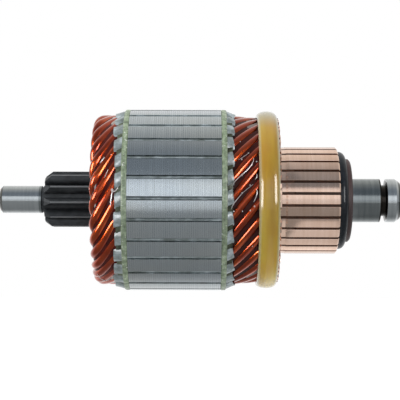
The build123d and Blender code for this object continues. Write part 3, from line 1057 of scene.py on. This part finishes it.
def make_world():
    """White behind the object and grey on the camera's side, as in front of a lit backdrop."""
    world = bpy.data.worlds.new("studio")
    bpy.context.scene.world = world
    world.use_nodes = True
    nodes, links = world.node_tree.nodes, world.node_tree.links
    nodes.clear()
    coordinates = nodes.new("ShaderNodeTexCoord")
    parts = nodes.new("ShaderNodeSeparateXYZ")
    links.new(coordinates.outputs["Generated"], parts.inputs[0])
    spread = nodes.new("ShaderNodeMapRange")
    spread.inputs["From Min"].default_value = -1.0
    spread.inputs["From Max"].default_value = 1.0
    links.new(parts.outputs[1], spread.inputs["Value"])
    shade = nodes.new("ShaderNodeValToRGB")
    set_stops(shade.color_ramp, WORLD_STOPS)
    links.new(spread.outputs[0], shade.inputs[0])
    studio = nodes.new("ShaderNodeBackground")
    links.new(shade.outputs[0], studio.inputs["Color"])
    seen = nodes.new("ShaderNodeBackground")
    seen.inputs["Color"].default_value = (1, 1, 1, 1)
    rays = nodes.new("ShaderNodeLightPath")
    either = nodes.new("ShaderNodeMath")
    either.operation = "MAXIMUM"
    links.new(rays.outputs["Is Camera Ray"], either.inputs[0])
    links.new(rays.outputs["Is Transmission Ray"], either.inputs[1])
    mixed = nodes.new("ShaderNodeMixShader")
    links.new(either.outputs[0], mixed.inputs[0])
    links.new(studio.outputs[0], mixed.inputs[1])
    links.new(seen.outputs[0], mixed.inputs[2])
    output = nodes.new("ShaderNodeOutputWorld")
    links.new(mixed.outputs[0], output.inputs[0])


def make_floor():
    """A plain pale floor well below the object, which is held by its journal."""
    work = bmesh.new()
    half = FLOOR_HALF_SIZE
    corners = [(-half, -half), (half, -half), (half, half), (-half, half)]
    work.faces.new([work.verts.new((x, y, FLOOR_LEVEL)) for x, y in corners])
    mesh = bpy.data.meshes.new("floor")
    work.to_mesh(mesh)
    work.free()
    floor = bpy.data.objects.new("floor", mesh)
    bpy.context.scene.collection.objects.link(floor)
    made = Finish("pale_floor", Roughness=0.9, Emission_Color=(1, 1, 1, 1))
    rays = made.node("ShaderNodeLightPath")
    # Painted shade: mirrors see a darker copy of the floor
    made.colour(made.blend(rays.outputs["Is Glossy Ray"], (0.80, 0.80, 0.80), (0.22, 0.23, 0.235)))
    seen = made.math("MULTIPLY", rays.outputs["Is Camera Ray"], 0.75)
    # Painted glow, seen only by mirrors, growing towards the backdrop
    behind = made.math("DIVIDE", made.math("SUBTRACT", made.split()[1], FLOOR_FRONT), FLOOR_DEPTH)
    painted_glow = made.ramp(behind, [(place, (level, level, level)) for place, level in FLOOR_MIRRORED])
    mirrored = made.math("MULTIPLY", rays.outputs["Is Glossy Ray"], painted_glow)
    made.link(made.math("MAXIMUM", seen, mirrored), made.shader.inputs["Emission Strength"])
    mesh.materials.append(made.material)


def panel(name, azimuth, distance, width, low, high, radiance, colour):
    """A lamp panel that faces the object: azimuth from -Y towards +X, and its elevations in degrees."""
    bottom, top = (distance * tan(radians(angle)) for angle in (low, high))
    height, turn = top - bottom, radians(azimuth)
    place = (distance * sin(turn), -distance * cos(turn), (bottom + top) / 2)
    power = pi * width * height * radiance
    return area_light(name, place, (pi / 2, 0, turn), (width, height), power, colour)


def make_lamps():
    """Two soft panels in front, a mirrored lamp at each side, a fill from above and two mirrored cards."""
    for values in SOFT_PANELS:
        panel(*values)
    for values in MIRRORED_PANELS:
        panel(*values).visible_diffuse = False
    downward = (-FILL_PLACE).to_track_quat("-Z", "Y").to_euler()
    fill = area_light("fill", FILL_PLACE, downward, FILL_SIZE, FILL_POWER)
    fill.visible_glossy = False
    for name, height, turn, radiance in CARDS:
        power = pi * CARD_WIDTH * CARD_LENGTH * radiance
        card = area_light(name, (*CARD_PLACE, height), (turn, 0, 0), (CARD_WIDTH, CARD_LENGTH), power)
        card.visible_diffuse = False


def make_camera():
    """The photograph's view, square to the shaft from a little below it."""
    data = bpy.data.cameras.new("photo_camera")
    data.sensor_width = SENSOR
    data.lens = SENSOR * CAMERA_DISTANCE / FRAME_WIDTH
    data.clip_start = 0.01
    camera = bpy.data.objects.new("photo_camera", data)
    camera.location = (0, -CAMERA_DISTANCE * cos(RISE), CAMERA_DISTANCE * sin(RISE))
    camera.rotation_euler = (pi / 2 - RISE, ROLL, 0)
    bpy.context.scene.collection.objects.link(camera)
    bpy.context.scene.camera = camera


make_camera()
make_world()
make_floor()
make_lamps()

make_winding(wire_finish())
make_core(core_finish())
make_liners(paper_finish())
make_band(band_finish())
make_discs(disc_finish())
make_head_film(head_film_finish())
make_lead_film(lead_film_finish())
make_fillets(fillet_finish())
make_threads(varnish_and_glint_finish())
steel = steel_finish()
dress_node("shaft", steel)
dress_node("commutator_bush", steel)
make_bars(copper_finish())
dress_node("commutator_moulding", moulding_finish())
dress_node("thrust_washer", washer_finish())

bpy.context.scene.view_settings.view_transform = "Standard"
